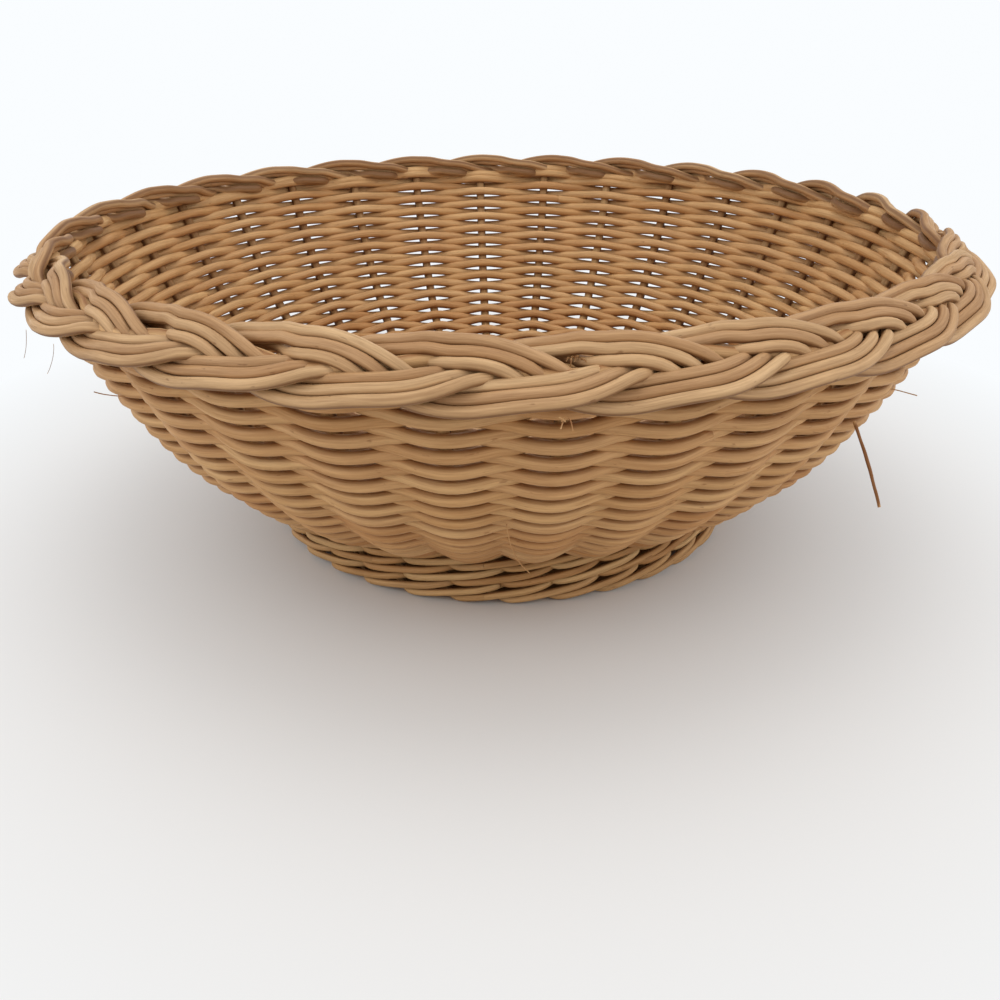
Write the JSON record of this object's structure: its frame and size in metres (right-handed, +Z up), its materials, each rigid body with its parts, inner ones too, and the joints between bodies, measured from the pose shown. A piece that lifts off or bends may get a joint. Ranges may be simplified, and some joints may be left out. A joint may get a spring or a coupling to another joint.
{
  "type": "wicker fruit basket",
  "caption": "Round open fruit basket woven from rattan cane, with a shallow flaring wall, a thick plaited rim and a low waled ring foot.",
  "frame": {"origin": "middle of the foot ring, on the surface that the basket stands on", "axes": "+Z up along the axis of the bowl; the upper rods of the base run along Y and the lower ones along X"},
  "size_m": [0.3044, 0.3028, 0.1036],
  "materials": {
    "stake_cane": "natural rattan core cane, dry and slightly fibrous",
    "weaver_cane": "natural rattan core cane, dry, colour varying along each length",
    "plait_cane": "natural rattan core cane, paler, with a soft sheen",
    "foot_cane": "natural rattan core cane, dry and darker"
  },
  "bodies": {
    "root": {"rod_lower_1": "stake_cane", "rod_lower_2": "stake_cane", "rod_lower_3": "stake_cane", "rod_lower_4": "stake_cane", "rod_lower_5": "stake_cane", "rod_lower_6": "stake_cane", "rod_lower_7": "stake_cane", "rod_lower_8": "stake_cane", "rod_upper_1": "stake_cane", "rod_upper_2": "stake_cane", "rod_upper_3": "stake_cane", "rod_upper_4": "stake_cane", "rod_upper_5": "stake_cane", "rod_upper_6": "stake_cane", "rod_upper_7": "stake_cane", "rod_upper_8": "stake_cane", "hub_binder": "weaver_cane", "base_weaver_1": "weaver_cane", "base_weaver_2": "weaver_cane", "wall_weaver_a1": "weaver_cane", "wall_weaver_a2": "weaver_cane", "wall_weaver_a3": "weaver_cane", "wall_weaver_b1": "weaver_cane", "wall_weaver_b2": "weaver_cane", "wall_weaver_b3": "weaver_cane", "foot_staple_1": "foot_cane", "foot_staple_2": "foot_cane", "foot_staple_3": "foot_cane", "foot_staple_4": "foot_cane", "foot_staple_5": "foot_cane", "foot_staple_6": "foot_cane", "foot_staple_7": "foot_cane", "foot_staple_8": "foot_cane", "foot_staple_9": "foot_cane", "foot_staple_10": "foot_cane", "foot_staple_11": "foot_cane", "foot_staple_12": "foot_cane", "foot_staple_13": "foot_cane", "foot_staple_14": "foot_cane", "foot_staple_15": "foot_cane", "foot_staple_16": "foot_cane", "foot_wale_1": "foot_cane", "foot_wale_2": "foot_cane", "foot_wale_3": "foot_cane", "foot_wale_4": "foot_cane", "plait_1_cane_1": "plait_cane", "plait_1_cane_2": "plait_cane", "plait_1_cane_3": "plait_cane", "plait_2_cane_1": "plait_cane", "plait_2_cane_2": "plait_cane", "plait_2_cane_3": "plait_cane", "plait_3_cane_1": "plait_cane", "plait_3_cane_2": "plait_cane", "plait_3_cane_3": "plait_cane"}
  },
  "joints": []
}
